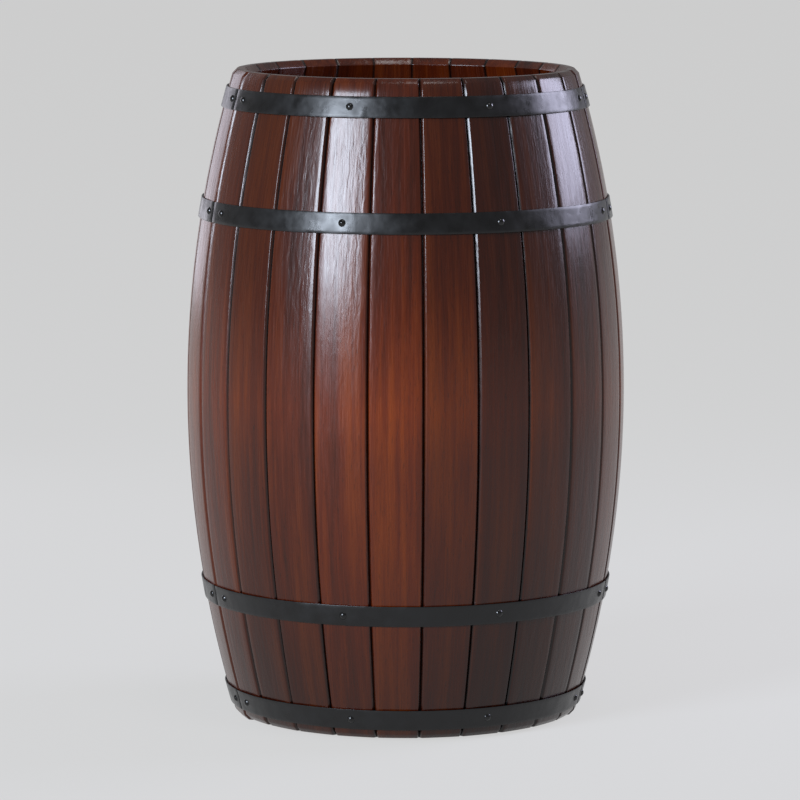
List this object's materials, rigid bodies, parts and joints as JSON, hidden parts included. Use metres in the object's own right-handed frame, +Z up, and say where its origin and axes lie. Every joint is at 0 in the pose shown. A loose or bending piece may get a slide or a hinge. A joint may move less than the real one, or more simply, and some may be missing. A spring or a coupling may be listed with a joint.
{
  "type": "barrel bar cabinet",
  "caption": "Bowed wooden barrel cabinet with iron hoops: a flush full-height hinged door of staves opens on a shelved inside.",
  "frame": {"origin": "on the barrel's axis at the floor, at the middle of the box's bottom", "axes": "+Z up along the barrel's axis; the middle of the door faces -Y; the hinges are on the +X side"},
  "size_m": [0.5418, 0.5419, 0.8],
  "materials": {
    "stave_wood": "stained, gloss varnish",
    "head_wood": "stained, gloss varnish",
    "inner_wood": "stained, satin varnish",
    "hoop_iron": "black, semi-gloss",
    "nail_iron": "black, semi-gloss",
    "hinge_steel": "zinc plated",
    "latch_plastic": "matte",
    "plunger_plastic": "satin"
  },
  "bodies": {
    "cabinet_body": {"base_head_board_1": "head_wood", "base_head_board_2": "head_wood", "base_head_board_3": "head_wood", "base_head_board_4": "head_wood", "body_hardware_screws": "hinge_steel", "body_hoop_foot": "hoop_iron", "body_hoop_lower": "hoop_iron", "body_hoop_nails": "nail_iron", "body_hoop_rim": "hoop_iron", "body_hoop_upper": "hoop_iron", "body_stave_01": "stave_wood", "body_stave_02": "stave_wood", "body_stave_03": "stave_wood", "body_stave_04": "stave_wood", "body_stave_05": "stave_wood", "body_stave_06": "stave_wood", "body_stave_07": "stave_wood", "body_stave_08": "stave_wood", "body_stave_09": "stave_wood", "body_stave_10": "stave_wood", "body_stave_11": "stave_wood", "body_stave_12": "stave_wood", "body_stave_13": "stave_wood", "body_stave_14": "stave_wood", "body_stave_15": "stave_wood", "hinge_arm_lower": "hinge_steel", "hinge_arm_upper": "hinge_steel", "jamb_hinge_side": "inner_wood", "jamb_latch_side": "inner_wood", "latch_case": "latch_plastic", "shelf": "inner_wood", "shelf_cleats": "inner_wood", "top_head_board_1": "head_wood", "top_head_board_2": "head_wood", "top_head_board_3": "head_wood", "top_head_board_4": "head_wood"},
    "door": {"door_hardware_screws": "hinge_steel", "door_hoop_foot": "hoop_iron", "door_hoop_lower": "hoop_iron", "door_hoop_nails": "nail_iron", "door_hoop_rim": "hoop_iron", "door_hoop_upper": "hoop_iron", "door_rib_lower": "inner_wood", "door_rib_middle": "inner_wood", "door_rib_upper": "inner_wood", "door_stave_01": "stave_wood", "door_stave_02": "stave_wood", "door_stave_03": "stave_wood", "door_stave_04": "stave_wood", "door_stave_05": "stave_wood", "door_stave_06": "stave_wood", "door_stave_07": "stave_wood", "door_stave_08": "stave_wood", "door_stave_09": "stave_wood", "door_stave_10": "stave_wood", "hinge_leaf_lower": "hinge_steel", "hinge_leaf_upper": "hinge_steel", "hinge_pins": "hinge_steel", "latch_strike": "hinge_steel"},
    "latch_button": {"latch_plunger": "plunger_plastic"}
  },
  "joints": [
    {"name": "door_hinge", "type": "hinge", "parent": "cabinet_body", "child": "door", "pos_m": [0.23864, -0.10046, 0.4], "axis": [0, 0, 1], "range_deg": [0, 95]},
    {"name": "latch_press", "type": "slide", "parent": "cabinet_body", "child": "latch_button", "axis": [0.309, -0.9511, 0], "range_m": [-0.004, 0], "stiffness_N_per_m": 400, "springref_m": 0.002}
  ]
}
